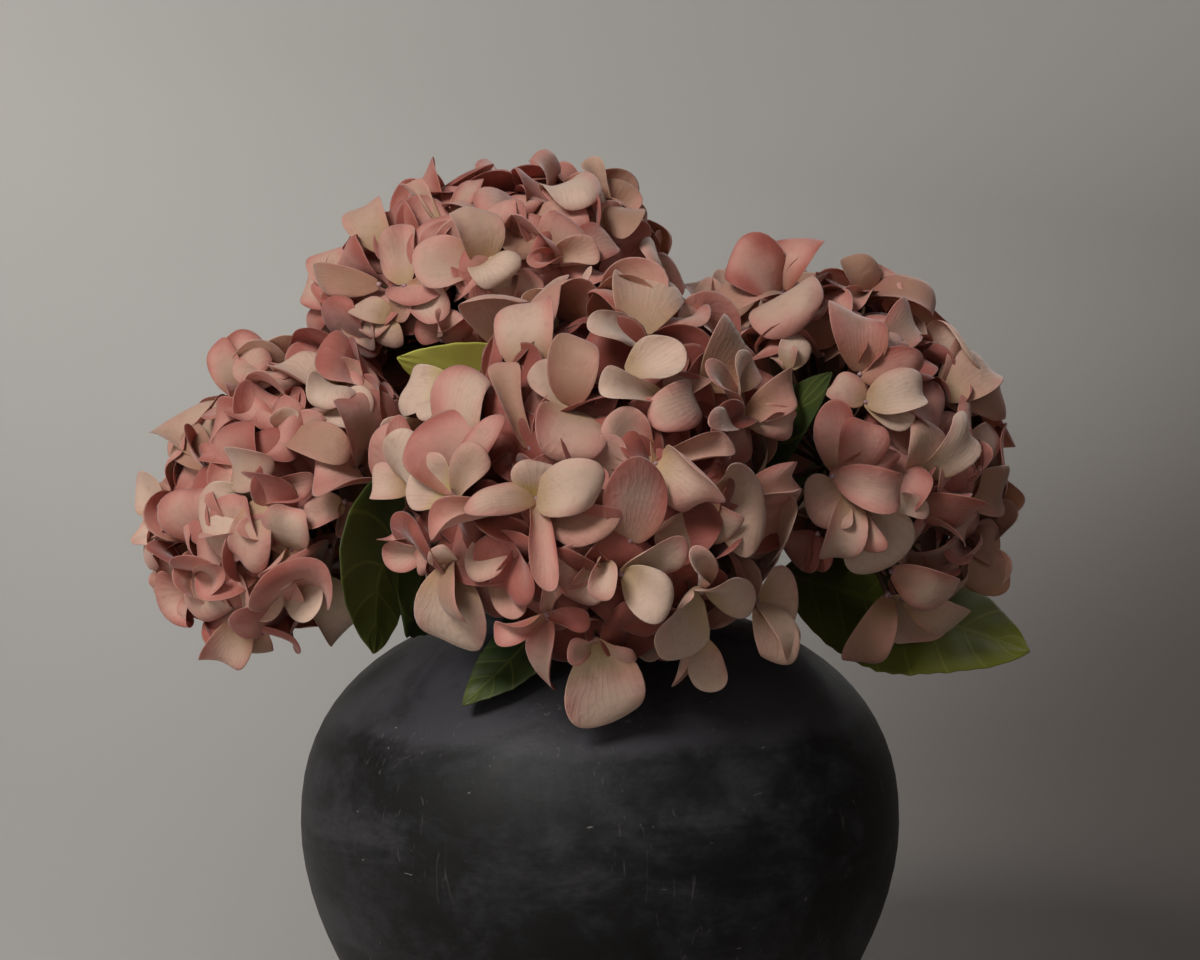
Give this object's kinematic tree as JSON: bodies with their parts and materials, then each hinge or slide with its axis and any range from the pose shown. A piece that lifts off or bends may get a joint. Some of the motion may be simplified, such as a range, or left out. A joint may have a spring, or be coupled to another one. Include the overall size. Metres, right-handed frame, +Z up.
{
  "type": "hydrangeas in a vase",
  "caption": "Mop-head hydrangeas in dusty pink and cream on leafy stems, standing in a wide, round-bellied, dark matt vase.",
  "frame": {"origin": "centre of the vase's foot, on the surface it stands on", "axes": "+Z up, -Y towards the front, where the largest bloom faces, +X to the right as seen from the front"},
  "size_m": [0.382, 0.3124, 0.4171],
  "materials": {
    "vase": "matt, hand-worked, charcoal with grey clouds, fine scratches and pale flecks",
    "petals_front": "soft, veined, cream with dusty pink edges",
    "petals_left": "soft, veined, pink and cream",
    "petals_right": "soft, veined, coral pink and cream",
    "petals_top": "soft, veined, dusty pink and taupe",
    "petals_back": "soft, veined, dusty pink",
    "greenery": "dark green, satin, veined"
  },
  "bodies": {
    "root": {"vase": "vase", "bloom_front": "petals_front", "bloom_left": "petals_left", "bloom_right": "petals_right", "bloom_top": "petals_top", "bloom_back": "petals_back", "stem_front": "greenery", "stem_left": "greenery", "stem_right": "greenery", "stem_top": "greenery", "stem_back": "greenery"}
  },
  "joints": []
}
